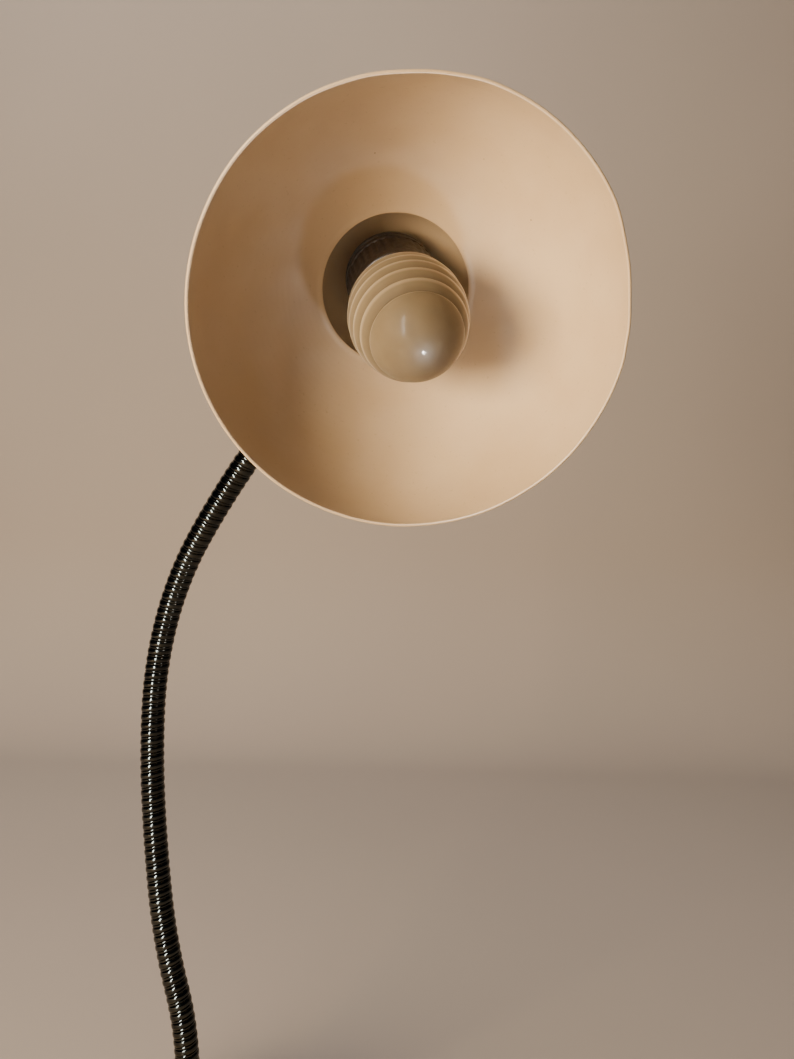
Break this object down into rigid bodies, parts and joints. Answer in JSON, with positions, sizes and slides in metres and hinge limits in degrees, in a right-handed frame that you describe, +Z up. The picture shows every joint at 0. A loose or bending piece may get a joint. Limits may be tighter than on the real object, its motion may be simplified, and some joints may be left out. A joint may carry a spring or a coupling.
{
  "type": "gooseneck desk lamp",
  "caption": "Desk lamp with a weighted round base, a flexible wound gooseneck, a round spun shade on a domed tilting seat, a screw lampholder and a frosted ridged bulb.",
  "frame": {"origin": "centre of the base's underside, on the surface that the lamp stands on", "axes": "+Z up; the shade opens towards -Y, with the switch in front and the cord inlet behind; +X is to the right seen from the front"},
  "size_m": [0.2554, 0.1959, 0.4742],
  "materials": {
    "cream_enamel": "satin cream enamel on spun sheet",
    "bright_chrome": "polished chrome plate",
    "wound_steel": "dark nickel-plated wire, bright on the crests",
    "lead_sheath": "matte sheath",
    "base_felt": "dark felt",
    "plate_steel": "zinc-plated",
    "cast_weight": "rough casting",
    "brass": "turned and pressed brass",
    "black_bakelite": "moulded bakelite",
    "black_plastic": "moulded plastic",
    "clear_nylon": "milky nylon",
    "wire_jacket": "insulated wire",
    "porcelain": null,
    "frosted_glass": "frosted",
    "cap_metal": "rolled screw cap",
    "black_glass": "black glass insulator",
    "clear_glass": "clear stem with support wires"
  },
  "bodies": {
    "base": {"base_pad": "base_felt", "bottom_plate": "plate_steel", "base_screws": "plate_steel", "ballast_weight": "cast_weight", "base_cover": "cream_enamel", "cover_pillars": "plate_steel", "cord_inlet": "black_plastic", "cord_clamp": "plate_steel", "ballast_screws": "brass", "terminal_block": "clear_nylon", "terminal_screws": "brass", "base_leads": "wire_jacket", "switch_body": "black_plastic", "switch_tabs": "brass", "lower_socket": "bright_chrome", "lower_nipple": "plate_steel", "lower_washer": "plate_steel", "lower_nut": "plate_steel", "gooseneck_coil_01": "wound_steel", "lamp_lead_01": "lead_sheath"},
    "arm_02": {"gooseneck_coil_02": "wound_steel", "lamp_lead_02": "lead_sheath"},
    "arm_03": {"gooseneck_coil_03": "wound_steel", "lamp_lead_03": "lead_sheath"},
    "arm_04": {"gooseneck_coil_04": "wound_steel", "lamp_lead_04": "lead_sheath"},
    "arm_05": {"gooseneck_coil_05": "wound_steel", "lamp_lead_05": "lead_sheath"},
    "arm_06": {"gooseneck_coil_06": "wound_steel", "lamp_lead_06": "lead_sheath"},
    "arm_07": {"gooseneck_coil_07": "wound_steel", "lamp_lead_07": "lead_sheath"},
    "arm_08": {"gooseneck_coil_08": "wound_steel", "lamp_lead_08": "lead_sheath"},
    "head": {"gooseneck_coil_09": "wound_steel", "lamp_lead_09": "lead_sheath", "upper_socket": "bright_chrome", "arm_nipple": "plate_steel", "knuckle": "bright_chrome", "upper_nipple": "plate_steel", "outer_dome_seat": "bright_chrome", "inner_dome_seat": "plate_steel", "upper_nut": "plate_steel", "holder_cap": "black_bakelite", "holder_body": "black_bakelite", "holder_insert": "porcelain", "screw_shell": "brass", "centre_contact": "brass", "holder_screws": "brass", "holder_leads": "wire_jacket"},
    "shade": {"shade": "cream_enamel"},
    "bulb": {"bulb_glass": "frosted_glass", "bulb_cap": "cap_metal", "bulb_insulator": "black_glass", "bulb_contact": "cap_metal", "bulb_filament": "clear_glass"},
    "rocker": {"switch_rocker": "black_plastic"}
  },
  "joints": [
    {"name": "bend_01", "type": "hinge", "parent": "base", "child": "arm_02", "pos_m": [-0.00716, 0.03278, 0.09313], "axis": [0.9511, 0.019, 0.3082], "range_deg": [-12, 12]},
    {"name": "bend_02", "type": "hinge", "parent": "arm_02", "child": "arm_03", "pos_m": [-0.01786, 0.03795, 0.13752], "axis": [0.015, 0.9946, -0.103], "range_deg": [-12, 12]},
    {"name": "bend_03", "type": "hinge", "parent": "arm_03", "child": "arm_04", "pos_m": [-0.02345, 0.04153, 0.18303], "axis": [0.9961, -0.0041, 0.0876], "range_deg": [-12, 12]},
    {"name": "bend_04", "type": "hinge", "parent": "arm_04", "child": "arm_05", "pos_m": [-0.02507, 0.0431, 0.22895], "axis": [0.0074, 0.9998, -0.0164], "range_deg": [-12, 12]},
    {"name": "bend_05", "type": "hinge", "parent": "arm_05", "child": "arm_06", "pos_m": [-0.01874, 0.04061, 0.27429], "axis": [0.9662, 0.0056, -0.2578], "range_deg": [-12, 12]},
    {"name": "bend_06", "type": "hinge", "parent": "arm_06", "child": "arm_07", "pos_m": [-0.00147, 0.03108, 0.31564], "axis": [0.0921, 0.9561, 0.2781], "range_deg": [-12, 12]},
    {"name": "bend_07", "type": "hinge", "parent": "arm_07", "child": "arm_08", "pos_m": [0.0228, 0.01918, 0.35284], "axis": [0.8219, 0.0824, -0.5637], "range_deg": [-12, 12]},
    {"name": "bend_08", "type": "hinge", "parent": "arm_08", "child": "head", "pos_m": [0.04881, 0.01752, 0.39038], "axis": [-0.1576, 0.9839, -0.0847], "range_deg": [-12, 12]},
    {"name": "shade_tilt", "type": "hinge", "parent": "head", "child": "shade", "pos_m": [0.09336, -0.02653, 0.42454], "axis": [-0.9322, 0.0501, -0.3586], "range_deg": [-12, 13]},
    {"name": "bulb_unscrew", "type": "slide", "parent": "head", "child": "bulb", "axis": [0.1843, -0.7869, -0.5889], "range_m": [0, 0.026]},
    {"name": "rocker_press", "type": "hinge", "parent": "base", "child": "rocker", "pos_m": [0, -0.036, 0.024], "axis": [1, 0, 0], "range_deg": [0, 18]}
  ]
}
